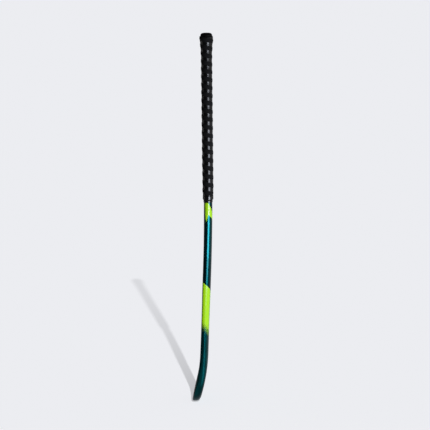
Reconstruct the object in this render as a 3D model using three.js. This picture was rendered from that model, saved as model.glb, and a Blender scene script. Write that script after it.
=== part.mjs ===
// Field hockey stick: a hollow J-shaped laminate moulding with its cores, the butt plug and
// rubber cap, and the grip that is wound round the handle.
// Millimetres. +Z runs up the handle, +Y is the toe's side and -X is the flat playing face.
import * as THREE from 'three';

const { lerp, degToRad } = THREE.MathUtils;

// Overall size
const STICK_LENGTH = 927;
const CAP_HEIGHT = 6.7;
const GAP = 0.3;
const BUTT_HEIGHT = STICK_LENGTH - CAP_HEIGHT - GAP;

// Hook: the spine turns round one arc, runs straight to the toe and ends in a half round
const HOOK_RADIUS = 35;
const HEAD_HALF_WIDTH = 23;
const HEAD_THICKNESS = 20.6;
const HOOK_TURN = degToRad(160);
const HOOK_CENTRE_HEIGHT = HOOK_RADIUS + HEAD_HALF_WIDTH;
const TOE_STRAIGHT = 14;
const STRAIGHT_LENGTH = BUTT_HEIGHT - HOOK_CENTRE_HEIGHT;
const ARC_LENGTH = HOOK_RADIUS * HOOK_TURN;
const TIP_START = STRAIGHT_LENGTH + ARC_LENGTH + TOE_STRAIGHT;

// Bow: the stick leans towards the playing face in two bends, a long one and one at the head
const BOW_BENDS = [
  { top: 545, bottom: 335, lean: 0.043 },
  { top: 137, bottom: 45, lean: 0.195 },
];

// Cross-section along the spine: distance from the butt, half width along Y, thickness along X,
// and how far the outline has gone from the handle's oval (0) to the shaft's D shape (1)
const SECTIONS = [
  { at: 0, halfWidth: 15.8, thickness: 26.6, flatness: 0 },
  { at: 14, halfWidth: 15.4, thickness: 24.9, flatness: 0 },
  { at: 42, halfWidth: 13.8, thickness: 21.1, flatness: 0 },
  { at: 58, halfWidth: 13.4, thickness: 20.6, flatness: 0 },
  { at: 386, halfWidth: 13.4, thickness: 20.2, flatness: 0 },
  { at: 412, halfWidth: 14.4, thickness: 20.8, flatness: 0.4 },
  { at: 527, halfWidth: 18.4, thickness: 20.2, flatness: 0.9 },
  { at: 627, halfWidth: 21.0, thickness: 20.0, flatness: 1 },
  { at: 672, halfWidth: 21.8, thickness: 19.3, flatness: 1 },
  { at: 718, halfWidth: 22.5, thickness: 19.0, flatness: 1 },
  { at: 780, halfWidth: 23, thickness: 19.5, flatness: 1 },
  { at: STRAIGHT_LENGTH - 16, halfWidth: HEAD_HALF_WIDTH, thickness: HEAD_THICKNESS, flatness: 1 },
  { at: STRAIGHT_LENGTH, halfWidth: HEAD_HALF_WIDTH, thickness: HEAD_THICKNESS, flatness: 1 },
  { at: TIP_START + HEAD_HALF_WIDTH, halfWidth: HEAD_HALF_WIDTH, thickness: HEAD_THICKNESS, flatness: 1 },
];
const EDGE_RADIUS = 5.2;

// Walls and cores
const SHAFT_WALL = 2.5;
const HEAD_WALL = 4;
const TUBE_WALL = 1.2;
const PLUG_DEPTH = 34;
const TUBES_END = 786;

// Wound grip: layers are stacked outwards from the moulding's surface
const GRIP_START = 0.6;
const GRIP_END = 398;
const BASE_TAPE_THICKNESS = 0.4;
const HELIX_STEPS = 12;
const HELIX_PITCH = 19.7;
const HELIX_CLEARANCE = 0.5;
const WRAP_INSIDE = GAP + BASE_TAPE_THICKNESS + GAP + HELIX_CLEARANCE;
const CORD_HEIGHT = 0.5;
const CORD_WIDTH = 7.6;
const WRAP_THICKNESS = 0.9;
const WRAP_END_THICKNESS = 0.45;
const FLAT_END = 7;
const FULL_FROM = 17;
const RIDGE_RISE = CORD_HEIGHT + GAP;
const FINISH_TAPE_TOP = 391;
const FINISH_TAPE_END = 407;
const FINISH_TAPE_THICKNESS = 0.5;

function material(color, roughness, metalness = 0) {
  return new THREE.MeshStandardMaterial({ color, roughness, metalness });
}

const PAINTED_TEAL = material(0x06484b, 0.18);
const CARBON_BRAID = material(0x1b1c1e, 0.45, 0.1);
const CORE_FOAM = material(0xe3d9b4, 0.9);
const HEAD_POLYURETHANE = material(0xb9924f, 0.7);
const PLUG_POLYURETHANE = material(0x6b6f72, 0.75);
const CAP_RUBBER = material(0x101012, 0.75);
const BASE_ADHESIVE = material(0xd9d4c6, 0.6);
const CORD_RUBBER = material(0x2a2a2c, 0.8);
const GRIP_POLYURETHANE = material(0x121214, 0.5);
const FINISH_VINYL = material(0x0b0b0d, 0.25);

// ---------------------------------------------------------------- spine and section

// Distance by which a bend has moved the stick towards the face at a height
function bendOffset(height, { top, bottom, lean }) {
  if (height >= top) return 0;
  if (height <= bottom) return lean * ((top - bottom) / 2 + bottom - height);
  return lean * (top - height) ** 2 / (2 * (top - bottom));
}

function bow(height) {
  return BOW_BENDS.reduce((sum, bend) => sum + bendOffset(height, bend), 0);
}

// Point of the spine at a distance from the butt, the normal that points away from the hook and the
// direction in which the spine runs on. Off the arc, what is left over lies on a straight: the
// handle's and shaft's if it is negative, the toe's if it is positive.
function spineAt(distance) {
  const turn = THREE.MathUtils.clamp((distance - STRAIGHT_LENGTH) / HOOK_RADIUS, 0, HOOK_TURN);
  const leftOver = distance - STRAIGHT_LENGTH - turn * HOOK_RADIUS;
  const [cos, sin] = [Math.cos(turn), Math.sin(turn)];
  return {
    y: HOOK_RADIUS * (1 - cos) + leftOver * sin,
    z: HOOK_CENTRE_HEIGHT - HOOK_RADIUS * sin - leftOver * cos,
    normal: [-cos, -sin],
    forward: [sin, -cos],
  };
}

// Smooth value of one section property: a cubic between stations with the slope of its neighbours
function sectionValue(distance, key) {
  const last = SECTIONS.length - 2;
  const found = SECTIONS.findIndex((section) => section.at > distance) - 1;
  const i = found < 0 ? last : Math.min(found, last);
  const slope = (k) => {
    const a = SECTIONS[Math.max(k - 1, 0)];
    const b = SECTIONS[Math.min(k + 1, SECTIONS.length - 1)];
    return (b[key] - a[key]) / (b.at - a.at);
  };
  const [from, to] = [SECTIONS[i], SECTIONS[i + 1]];
  const span = to.at - from.at;
  const t = Math.min((distance - from.at) / span, 1);
  const [t2, t3] = [t * t, t * t * t];
  return from[key] * (2 * t3 - 3 * t2 + 1) + to[key] * (3 * t2 - 2 * t3)
    + span * (slope(i) * (t3 - 2 * t2 + t) + slope(i + 1) * (t3 - t2));
}

const FACE_STEPS = 6;
const EDGE_STEPS = 3;
const BACK_STEPS = 12;
const FACE_MIDDLE = FACE_STEPS / 2;
const BACK_MIDDLE = FACE_STEPS + EDGE_STEPS + BACK_STEPS / 2;

// Powers of the back's curve: 1 is an ellipse and less is squarer, and the head's back is squarest
const SHAFT_BACK_POWER = 0.82;
const HEAD_BACK_POWER = 0.55;

// 0 along the shaft and 1 in the head
function headShare(distance) {
  return THREE.MathUtils.smoothstep(distance, TUBES_END, STRAIGHT_LENGTH);
}

// Outline of the moulding as [u, v] points: u across the width, v from the playing face to the back.
// The handle's oval and the shaft's D shape have matching points, 15 degrees apart on the oval.
function outline(distance) {
  const halfWidth = sectionValue(distance, 'halfWidth');
  const thickness = sectionValue(distance, 'thickness');
  const flatness = THREE.MathUtils.clamp(sectionValue(distance, 'flatness'), 0, 1);
  const backPower = lerp(SHAFT_BACK_POWER, HEAD_BACK_POWER, headShare(distance));
  const flat = halfWidth - EDGE_RADIUS;
  const points = [];
  const add = (u, v, ovalDegrees) => {
    const angle = degToRad(ovalDegrees);
    const ovalU = halfWidth * Math.cos(angle);
    const ovalV = thickness * (1 + Math.sin(angle)) / 2;
    points.push([lerp(ovalU, u, flatness), lerp(ovalV, v, flatness)]);
  };
  for (let i = 0; i < FACE_STEPS; i++) {
    const t = i / FACE_STEPS;
    add(lerp(-flat, flat, t), 0, lerp(-135, -45, t));
  }
  for (let i = 0; i < EDGE_STEPS; i++) {
    const t = i / EDGE_STEPS;
    const angle = degToRad(lerp(-90, 0, t));
    add(flat + EDGE_RADIUS * Math.cos(angle), EDGE_RADIUS * (1 + Math.sin(angle)), lerp(-45, 0, t));
  }
  for (let i = 0; i < BACK_STEPS; i++) {
    const angle = Math.PI * i / BACK_STEPS;
    const across = Math.sign(Math.cos(angle)) * Math.abs(Math.cos(angle)) ** backPower;
    const rise = Math.sin(angle) ** backPower;
    add(halfWidth * across, lerp(EDGE_RADIUS, thickness, rise), 180 * i / BACK_STEPS);
  }
  for (let i = 0; i < EDGE_STEPS; i++) {
    const t = i / EDGE_STEPS;
    const angle = degToRad(lerp(180, 270, t));
    add(-flat + EDGE_RADIUS * Math.cos(angle), EDGE_RADIUS * (1 + Math.sin(angle)), lerp(180, 225, t));
  }
  return points;
}

// Moves every side of a convex outline inwards by the same amount
function inset(points, amount) {
  const inward = points.map(([u, v], i) => {
    const [nextU, nextV] = points[(i + 1) % points.length];
    const side = Math.hypot(nextU - u, nextV - v);
    return [-(nextV - v) / side, (nextU - u) / side];
  });
  return points.map(([u, v], i) => {
    const [aU, aV] = inward[(i + points.length - 1) % points.length];
    const [bU, bV] = inward[i];
    const reach = amount / (1 + aU * bU + aV * bV);
    return [u + (aU + bU) * reach, v + (aV + bV) * reach];
  });
}

// The half of an outline on one side of the centre web: side is 1 for the heel and -1 for the toe
function halfOutline(points, side, webGap) {
  const half = side > 0
    ? points.slice(FACE_MIDDLE, BACK_MIDDLE + 1)
    : [...points.slice(BACK_MIDDLE), ...points.slice(0, FACE_MIDDLE + 1)];
  const last = half.length - 1;
  return half.map(([u, v], i) => [i === 0 || i === last ? side * webGap : u, v]);
}

// Places an outline at a distance along the spine. The face leans with the bow at each point's height.
// A swing folds both halves of the outline forward about its middle line.
function place(distance, points, swing = 0) {
  const { y, z, normal, forward } = spineAt(distance);
  const halfThickness = sectionValue(distance, 'thickness') / 2;
  return points.map(([u, v]) => {
    const across = u * Math.cos(swing);
    const ahead = Math.abs(u) * Math.sin(swing);
    const height = z + across * normal[1] + ahead * forward[1];
    const side = y + across * normal[0] + ahead * forward[0];
    return new THREE.Vector3(v - halfThickness - bow(height), side, height);
  });
}

// ---------------------------------------------------------------- closed bodies from rings

// Triangles that close a ring, as index triples into it, seen anticlockwise from the ring's own normal
function capTriangles(ring) {
  const normal = new THREE.Vector3();
  ring.forEach((p, i) => {
    const q = ring[(i + 1) % ring.length];
    normal.x += (p.y - q.y) * (p.z + q.z);
    normal.y += (p.z - q.z) * (p.x + q.x);
    normal.z += (p.x - q.x) * (p.y + q.y);
  });
  normal.normalize();
  const sideways = Math.abs(normal.x) < 0.7 ? new THREE.Vector3(1, 0, 0) : new THREE.Vector3(0, 1, 0);
  const across = new THREE.Vector3().crossVectors(sideways, normal).normalize();
  const along = new THREE.Vector3().crossVectors(normal, across);
  const flat = ring.map((p) => new THREE.Vector2(p.dot(across), p.dot(along)));
  return THREE.ShapeUtils.triangulateShape(flat, []).map(([a, b, c]) => {
    const anticlockwise = THREE.ShapeUtils.area([flat[a], flat[b], flat[c]]) > 0;
    return anticlockwise ? [a, b, c] : [a, c, b];
  });
}

// Triangles that close a ring whose halves are folded together, from each point to its mirror point
function foldTriangles(ring) {
  const mirror = (i) => (FACE_STEPS + ring.length - i) % ring.length;
  return spaced(BACK_MIDDLE, BACK_MIDDLE + ring.length / 2 - 1, ring.length / 2 - 1).flatMap((k) => {
    const [a, b] = [k % ring.length, (k + 1) % ring.length];
    return [[a, b, mirror(b)], [a, mirror(b), mirror(a)]].filter((t) => new Set(t).size === 3);
  });
}

// Closed body through a chain of rings with the same number of points. The chain either runs in a
// loop, as a tube's outside and inside do, or is closed at each end.
function ringBody(rings, { loop = false, closeEnd = capTriangles } = {}) {
  const size = rings[0].length;
  const vertices = rings.flat();
  const triangles = [];
  const bandCount = loop ? rings.length : rings.length - 1;
  for (let k = 0; k < bandCount; k++) {
    const a = k * size;
    const b = ((k + 1) % rings.length) * size;
    for (let i = 0; i < size; i++) {
      const j = (i + 1) % size;
      triangles.push([a + i, a + j, b + i], [a + j, b + j, b + i]);
    }
  }
  if (!loop) {
    const end = (rings.length - 1) * size;
    capTriangles(rings[0]).forEach(([a, b, c]) => triangles.push([a, c, b]));
    closeEnd(rings.at(-1)).forEach(([a, b, c]) => triangles.push([end + a, end + b, end + c]));
  }
  const volume = triangles.reduce((sum, [a, b, c]) => {
    const cross = new THREE.Vector3().crossVectors(vertices[b], vertices[c]);
    return sum + vertices[a].dot(cross);
  }, 0);
  const outward = volume > 0 ? triangles : triangles.map(([a, b, c]) => [a, c, b]);
  const geometry = new THREE.BufferGeometry().setFromPoints(vertices);
  geometry.setIndex(outward.flat());
  geometry.computeVertexNormals();
  return geometry;
}

function piece(name, geometry, finish) {
  const mesh = new THREE.Mesh(geometry, finish);
  mesh.name = name;
  return mesh;
}

// Evenly spaced distances from one value to another, with both ends
function spaced(from, to, count) {
  return Array.from({ length: count + 1 }, (_, i) => lerp(from, to, i / count));
}

// ---------------------------------------------------------------- the moulding and its cores

const FLARE_STATIONS = [0, 14, PLUG_DEPTH + 1, 46, 58];
const HANDLE_STATIONS = [200, 386, 399, 412];
const SHAFT_STATIONS = [...spaced(465, 745, 7), TUBES_END];
const NECK_STATIONS = spaced(800, STRAIGHT_LENGTH, 4);
const ARC_STATIONS = spaced(STRAIGHT_LENGTH, STRAIGHT_LENGTH + ARC_LENGTH, 14).slice(1);
const SPINE_STATIONS = [
  ...FLARE_STATIONS, ...HANDLE_STATIONS, ...SHAFT_STATIONS, ...NECK_STATIONS, ...ARC_STATIONS, TIP_START,
];
const TOE_SWINGS = spaced(0, 88, 7).slice(1).map(degToRad);

function cavityOutline(distance) {
  return inset(outline(distance), lerp(SHAFT_WALL, HEAD_WALL, headShare(distance)));
}

function stickShell() {
  const outside = [
    ...SPINE_STATIONS.map((distance) => place(distance, outline(distance))),
    ...TOE_SWINGS.map((swing) => place(TIP_START, outline(TIP_START), swing)),
  ];
  const inside = SPINE_STATIONS.map((distance) => place(distance, cavityOutline(distance)));
  return ringBody([...inside.reverse(), ...outside], { closeEnd: foldTriangles });
}

const CORE_STATIONS = [PLUG_DEPTH + 2, 46, 58, ...HANDLE_STATIONS, ...SHAFT_STATIONS];
const WEB_GAP = GAP / 2;

function tubeOutline(distance, side) {
  return halfOutline(inset(outline(distance), SHAFT_WALL + GAP), side, WEB_GAP);
}

function shaftTube(side) {
  const rings = (depth) => CORE_STATIONS.map((distance) => {
    return place(distance, inset(tubeOutline(distance, side), depth));
  });
  return ringBody([...rings(0), ...rings(TUBE_WALL).reverse()], { loop: true });
}

function shaftFoam(side) {
  return ringBody(CORE_STATIONS.map((distance) => {
    return place(distance, inset(tubeOutline(distance, side), TUBE_WALL + GAP));
  }));
}

function headCore() {
  const stations = [TUBES_END + GAP, ...NECK_STATIONS, ...ARC_STATIONS, TIP_START - GAP];
  return ringBody(stations.map((distance) => place(distance, inset(cavityOutline(distance), GAP))));
}

// ---------------------------------------------------------------- butt plug and cap

const SPIGOT_DEPTH = 14;
const SPIGOT_HALF_WIDTH = 7;
const SPIGOT_HALF_THICKNESS = 5;
const CAP_EDGE = 5.6;
const CAP_OVERLAP = 1.0;

// Oval ring across the handle at a height, grown outwards from given half sizes
function ovalRing(height, halfThickness, halfWidth, count = 24) {
  return Array.from({ length: count }, (_, i) => {
    const angle = degToRad(-135) + 2 * Math.PI * i / count;
    return new THREE.Vector3(halfThickness * Math.sin(angle), -halfWidth * Math.cos(angle), height);
  });
}

function spigotRing(height, clearance) {
  return ovalRing(height, SPIGOT_HALF_THICKNESS + clearance, SPIGOT_HALF_WIDTH + clearance);
}

function buttPlug() {
  const outside = [0.2, 14, PLUG_DEPTH].map((distance) => {
    return place(distance, inset(outline(distance), SHAFT_WALL + GAP));
  });
  const floor = BUTT_HEIGHT - SPIGOT_DEPTH - GAP;
  const recess = [floor, BUTT_HEIGHT - 0.2].map((height) => spigotRing(height, GAP));
  return ringBody([...recess, ...outside]);
}

function endCap() {
  const halfThickness = SECTIONS[0].thickness / 2 + CAP_OVERLAP;
  const halfWidth = SECTIONS[0].halfWidth + CAP_OVERLAP;
  const underside = BUTT_HEIGHT + GAP;
  const spigot = [BUTT_HEIGHT - SPIGOT_DEPTH, underside].map((height) => spigotRing(height, 0));
  const rim = ovalRing(underside, halfThickness, halfWidth);
  const dome = spaced(0, 90, 5).map((degrees) => {
    const angle = degToRad(degrees);
    const pulledIn = CAP_EDGE * (1 - Math.cos(angle));
    const height = STICK_LENGTH - CAP_EDGE * (1 - Math.sin(angle));
    return ovalRing(height, halfThickness - pulledIn, halfWidth - pulledIn);
  });
  return ringBody([...spigot, rim, ...dome]);
}

// ---------------------------------------------------------------- wound grip

// Ring round the handle at a distance from the butt, standing off the moulding's surface
function sleeveRing(distance, standOff) {
  return place(distance, inset(outline(distance), -standOff));
}

function sleeve(stations, standOff, thickness) {
  const outside = stations.map((distance) => sleeveRing(distance, standOff + thickness));
  const inside = stations.map((distance) => sleeveRing(distance, standOff));
  return ringBody([...outside, ...inside.reverse()], { loop: true });
}

function baseTape() {
  return sleeve([GRIP_START + 2, 14, PLUG_DEPTH + 1, 46, 58, 200, 386], GAP, BASE_TAPE_THICKNESS);
}

// Point on the handle at a turn of the winding, a distance from the butt and a stand-off.
// The winding runs clockwise upwards, seen from above.
function windingPoint(turns, distance, standOff) {
  const angle = -2 * Math.PI * turns;
  const halfThickness = sectionValue(distance, 'thickness') / 2 + standOff;
  const halfWidth = sectionValue(distance, 'halfWidth') + standOff;
  const height = BUTT_HEIGHT - distance;
  return new THREE.Vector3(halfThickness * Math.cos(angle), halfWidth * Math.sin(angle), height);
}

const WRAP_TURNS = (GRIP_END - GRIP_START) / HELIX_PITCH;
const WEDGE_WIDTH = 0.8;
const CORD_FIRST_TURN = 1.25;

// Closed strip wound from the lower end of the grip to the butt. The profile gives the points of its
// section at a turn, as [distance from the butt, stand-off].
function wound(profile, fromTurn, toTurn) {
  const steps = Math.round((toTurn - fromTurn) * HELIX_STEPS);
  return ringBody(spaced(fromTurn, toTurn, steps).map((turns) => {
    return profile(turns).map(([distance, standOff]) => windingPoint(turns, distance, standOff));
  }));
}

// The tape is cut to a point at both ends, so its first and last turns are wedges. Its upper half
// rises over the cord, and it is thin and flat where the finishing tape holds it.
function gripTape() {
  const section = [[0, 0], [0.46, 0], [0.54, 1], [1, 1]];
  const point = (turns, share, ridge, outer) => {
    const lowerEdge = Math.min(GRIP_END, GRIP_END - (turns - 1) * HELIX_PITCH);
    const upperEdge = Math.max(GRIP_END - turns * HELIX_PITCH + GAP - WEDGE_WIDTH, GRIP_START);
    const distance = lerp(lowerEdge, upperEdge, share);
    const fullness = THREE.MathUtils.smoothstep(GRIP_END - distance, FLAT_END, FULL_FROM);
    const thickness = lerp(WRAP_END_THICKNESS, WRAP_THICKNESS, fullness);
    return [distance, WRAP_INSIDE + ridge * RIDGE_RISE * fullness + outer * thickness];
  };
  return wound((turns) => [
    ...section.map(([share, ridge]) => point(turns, share, ridge, 0)),
    ...section.toReversed().map(([share, ridge]) => point(turns, share, ridge, 1)),
  ], 0, WRAP_TURNS + 1 - 1 / HELIX_STEPS);
}

function ridgeCord() {
  return wound((turns) => {
    const upperEdge = GRIP_END - turns * HELIX_PITCH + 1;
    const lowerEdge = upperEdge + CORD_WIDTH;
    const [low, high] = [WRAP_INSIDE, WRAP_INSIDE + CORD_HEIGHT];
    return [[lowerEdge, low], [upperEdge, low], [upperEdge, high], [lowerEdge, high]];
  }, CORD_FIRST_TURN, WRAP_TURNS - 1 / 4);
}

// Vinyl band: its upper half lies on the grip tape and its lower half on the moulding
function finishingTape() {
  const overWrap = WRAP_INSIDE + WRAP_END_THICKNESS + GAP;
  const step = GRIP_END + 1;
  const inside = [[FINISH_TAPE_TOP, overWrap], [step, overWrap], [step + 4, GAP], [FINISH_TAPE_END, GAP]];
  const rings = (depth) => inside.map(([distance, standOff]) => sleeveRing(distance, standOff + depth));
  return ringBody([...rings(FINISH_TAPE_THICKNESS), ...rings(0).reverse()], { loop: true });
}

// ---------------------------------------------------------------- assembly

const stick = new THREE.Group();
const HEEL_SIDE = 1;
const TOE_SIDE = -1;

stick.add(
  piece('stick_shell', stickShell(), PAINTED_TEAL),
  piece('heel_side_tube', shaftTube(HEEL_SIDE), CARBON_BRAID),
  piece('toe_side_tube', shaftTube(TOE_SIDE), CARBON_BRAID.clone()),
  piece('heel_side_foam', shaftFoam(HEEL_SIDE), CORE_FOAM),
  piece('toe_side_foam', shaftFoam(TOE_SIDE), CORE_FOAM.clone()),
  piece('head_core', headCore(), HEAD_POLYURETHANE),
  piece('butt_plug', buttPlug(), PLUG_POLYURETHANE),
  piece('end_cap', endCap(), CAP_RUBBER),
  piece('base_tape', baseTape(), BASE_ADHESIVE),
  piece('ridge_cord', ridgeCord(), CORD_RUBBER),
  piece('grip_tape', gripTape(), GRIP_POLYURETHANE),
  piece('finishing_tape', finishingTape(), FINISH_VINYL),
);

// The origin is at the middle of the base of the stick's box
const box = new THREE.Box3().setFromObject(stick);
const middle = box.getCenter(new THREE.Vector3());
stick.position.set(-middle.x, -middle.y, -box.min.z);

export default stick;
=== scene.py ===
# %% [markdown]
# A field hockey stick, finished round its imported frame.
# The frame gives every part its place and size in metres. This file rebuilds the four pieces that a
# player sees (the painted moulding, the wound grip, the vinyl band and the rubber cap) as smooth
# meshes, and gives every hidden core a finish of its own.

# %% Load the frame
import math

import bmesh
import bpy
import numpy as np
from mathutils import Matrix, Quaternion, Vector


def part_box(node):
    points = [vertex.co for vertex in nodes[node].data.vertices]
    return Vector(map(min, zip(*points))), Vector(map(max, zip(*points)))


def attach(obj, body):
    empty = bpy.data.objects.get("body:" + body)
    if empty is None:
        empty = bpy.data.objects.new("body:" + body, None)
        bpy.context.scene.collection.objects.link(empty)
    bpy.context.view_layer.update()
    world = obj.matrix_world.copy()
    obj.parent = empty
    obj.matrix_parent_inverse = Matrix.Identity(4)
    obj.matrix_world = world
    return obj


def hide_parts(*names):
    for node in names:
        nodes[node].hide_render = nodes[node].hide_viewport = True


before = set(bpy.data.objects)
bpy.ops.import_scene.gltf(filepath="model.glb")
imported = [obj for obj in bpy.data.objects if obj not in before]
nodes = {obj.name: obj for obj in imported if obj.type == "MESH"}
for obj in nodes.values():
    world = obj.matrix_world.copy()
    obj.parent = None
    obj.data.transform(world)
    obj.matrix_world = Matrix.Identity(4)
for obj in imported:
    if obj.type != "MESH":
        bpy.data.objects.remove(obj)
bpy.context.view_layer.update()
print("frame nodes:", sorted(nodes))

# %% Read the driving places from the frame
MM = 0.001
cap_low, cap_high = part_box("end_cap")
shell_low, shell_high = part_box("stick_shell")
AXIS_X = (cap_low.x + cap_high.x) / 2
AXIS_Y = (cap_low.y + cap_high.y) / 2
BUTT_Z = shell_high.z
BASE_Z = shell_low.z
print("handle axis:", round(AXIS_X, 4), round(AXIS_Y, 4))
print("stick height:", round(cap_high.z - BASE_Z, 4))

# %% [markdown]
# The camera stands a long way back with a long lens, so that the shaft shows almost no perspective.
# It looks a little down, from just off the heel's side, and is rolled by about half a degree.
# Aiming it at a point and then turning it about its own line of sight keeps those two apart.

# %% Camera
CAMERA_AZIMUTH = math.radians(2.0)
CAMERA_ELEVATION = math.radians(11.0)
CAMERA_ROLL = math.radians(-0.6)
CAMERA_DISTANCE = 5.0
FIELD_WIDTH = 1.055
SENSOR_WIDTH = 36.0
AIM_ASIDE = 0.0165
AIM_HEIGHT = 0.480
AIM = Vector((AXIS_X + AIM_ASIDE, AXIS_Y, BASE_Z + AIM_HEIGHT))


def direction(azimuth, elevation):
    """Unit vector from the stick towards a place in the studio; azimuth 0 is in front, at -Y."""
    flat = math.cos(elevation)
    return Vector((math.sin(azimuth) * flat, -math.cos(azimuth) * flat, math.sin(elevation)))


camera_data = bpy.data.cameras.new("studio_camera")
camera_data.sensor_width = SENSOR_WIDTH
camera_data.lens = SENSOR_WIDTH * CAMERA_DISTANCE / FIELD_WIDTH
camera_data.clip_end = 60
camera = bpy.data.objects.new("studio_camera", camera_data)
bpy.context.scene.collection.objects.link(camera)
towards_camera = direction(CAMERA_AZIMUTH, CAMERA_ELEVATION)
camera.location = AIM + towards_camera * CAMERA_DISTANCE
facing = (-towards_camera).to_track_quat("-Z", "Y")
camera.rotation_euler = (facing @ Quaternion((0, 0, 1), CAMERA_ROLL)).to_euler()
bpy.context.scene.camera = camera
bpy.context.scene.view_settings.view_transform = "Standard"
print("lens:", round(camera_data.lens, 1), "mm")

# %% [markdown]
# Every finish below is a tree of shader nodes. A few short functions add the nodes that come back
# again and again, so each finish reads as a recipe and not as a page of wiring.

# %% Small helpers for material trees
def new_material(name):
    """Empty node material with a Principled shader wired to its output."""
    finish = bpy.data.materials.new(name)
    finish.use_nodes = True
    tree = finish.node_tree
    tree.nodes.clear()
    shader = tree.nodes.new("ShaderNodeBsdfPrincipled")
    out = tree.nodes.new("ShaderNodeOutputMaterial")
    tree.links.new(shader.outputs[0], out.inputs["Surface"])
    return finish, tree, shader


def feed(tree, socket, value):
    """Links an output to a socket, or sets a plain value on it."""
    if isinstance(value, bpy.types.NodeSocket):
        tree.links.new(value, socket)
    else:
        socket.default_value = value


def maths(tree, operation, *values):
    node = tree.nodes.new("ShaderNodeMath")
    node.operation = operation
    for socket, value in zip(node.inputs, values):
        feed(tree, socket, value)
    return node.outputs[0]


def soft_step(tree, value, edge, width):
    """0 below an edge and 1 above it, with a ramp of a given width."""
    node = tree.nodes.new("ShaderNodeMapRange")
    node.interpolation_type = "SMOOTHSTEP"
    feed(tree, node.inputs["Value"], value)
    node.inputs["From Min"].default_value = edge - width / 2
    node.inputs["From Max"].default_value = edge + width / 2
    return node.outputs["Result"]


def mix_colour(tree, share, a, b):
    node = tree.nodes.new("ShaderNodeMix")
    node.data_type = "RGBA"
    for socket, value in ((0, share), (6, a), (7, b)):
        feed(tree, node.inputs[socket], value)
    return node.outputs[2]


def noise(tree, place, size, detail=3.0, distortion=0.0):
    """Noise whose features are about size metres across."""
    node = tree.nodes.new("ShaderNodeTexNoise")
    feed(tree, node.inputs["Vector"], place)
    node.inputs["Scale"].default_value = 1 / size
    node.inputs["Detail"].default_value = detail
    node.inputs["Distortion"].default_value = distortion
    return node.outputs["Fac"]


def cells(tree, place, size):
    """Distance to the nearest of scattered points that are about size metres apart."""
    node = tree.nodes.new("ShaderNodeTexVoronoi")
    feed(tree, node.inputs["Vector"], place)
    node.inputs["Scale"].default_value = 1 / size
    return node.outputs["Distance"]


def bump(tree, height, depth, strength):
    node = tree.nodes.new("ShaderNodeBump")
    node.inputs["Strength"].default_value = strength
    node.inputs["Distance"].default_value = depth
    feed(tree, node.inputs["Height"], height)
    return node.outputs["Normal"]


def object_place(tree):
    return tree.nodes.new("ShaderNodeTexCoord").outputs["Object"]


def stretched(tree, place, scale):
    node = tree.nodes.new("ShaderNodeMapping")
    feed(tree, node.inputs["Vector"], place)
    node.inputs["Scale"].default_value = scale
    return node.outputs["Vector"]


def pattern_place(tree):
    """Distance round the stick, distance from the butt, and both as one flat-pattern place."""
    layer = tree.nodes.new("ShaderNodeUVMap")
    layer.uv_map = "flat_pattern"
    split = tree.nodes.new("ShaderNodeSeparateXYZ")
    feed(tree, split.inputs[0], layer.outputs["UV"])
    return split.outputs["X"], split.outputs["Y"], layer.outputs["UV"]


# %% [markdown]
# The floor is pale and even. Part of its brightness is its own, as a lit studio sweep has, and the
# rest comes from one distant lamp in front, which casts the long shadow behind the stick. The share
# of its own light grows away from the foot, so the shadow pales with distance but the floor doesn't.
# The lamps that model the stick skip the floor, so they draw no second shadow on it.

# %% Floor
PALE = (0.838, 0.846, 0.879, 1)
FLOOR_RADIUS = 14
FLOOR_GAP = 0.2 * MM
GLOW_FAR = 0.85
GLOW_LOST_AT_FOOT = 0.33
GLOW_RETURN = 0.65
SUN_STRENGTH = 2.9
SUN_AZIMUTH = math.radians(11.5)
SUN_ELEVATION = math.radians(33)
SUN_WIDTH = math.radians(0.7)
DIM_LIGHT = 0.07


def link(obj):
    bpy.context.scene.collection.objects.link(obj)
    return obj


def disc(name, radius, centre, sides=96):
    """Flat round card that faces up."""
    turn = [2 * math.pi * i / sides for i in range(sides)]
    corners = [centre + radius * Vector((math.cos(a), math.sin(a), 0)) for a in turn]
    mesh = bpy.data.meshes.new(name)
    mesh.from_pydata(corners, [], [list(range(sides))])
    return link(bpy.data.objects.new(name, mesh))


def pale_floor():
    """Shines by itself and takes light and shadow on top; the two always add up to PALE."""
    finish, tree, shader = new_material("pale_floor")
    tree.nodes.remove(shader)
    reach = tree.nodes.new("ShaderNodeVectorMath")
    reach.operation = "DISTANCE"
    feed(tree, reach.inputs[0], object_place(tree))
    reach.inputs[1].default_value = (AXIS_X, AXIS_Y, BASE_Z)
    near = maths(tree, "EXPONENT", maths(tree, "DIVIDE", reach.outputs["Value"], -GLOW_RETURN))
    glow = maths(tree, "MULTIPLY_ADD", near, -GLOW_LOST_AT_FOOT, GLOW_FAR)
    received = SUN_STRENGTH * math.sin(SUN_ELEVATION) / math.pi + DIM_LIGHT
    own = tree.nodes.new("ShaderNodeEmission")
    own.inputs["Color"].default_value = PALE
    feed(tree, own.inputs["Strength"], glow)
    left_over = maths(tree, "SUBTRACT", 1.0, glow)
    tint = tree.nodes.new("ShaderNodeVectorMath")
    tint.operation = "SCALE"
    tint.inputs[0].default_value = PALE[:3]
    feed(tree, tint.inputs["Scale"], maths(tree, "DIVIDE", left_over, received))
    matt = tree.nodes.new("ShaderNodeBsdfDiffuse")
    feed(tree, matt.inputs["Color"], tint.outputs[0])
    both = tree.nodes.new("ShaderNodeAddShader")
    feed(tree, both.inputs[0], own.outputs[0])
    feed(tree, both.inputs[1], matt.outputs[0])
    out = next(node for node in tree.nodes if node.type == "OUTPUT_MATERIAL")
    feed(tree, out.inputs["Surface"], both.outputs[0])
    return finish


floor = disc("studio_floor", FLOOR_RADIUS, Vector((AXIS_X, AXIS_Y, BASE_Z - FLOOR_GAP)))
floor.data.materials.append(pale_floor())
floor.visible_glossy = False
floor.visible_diffuse = False
print("floor radius:", FLOOR_RADIUS, "m")

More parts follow.
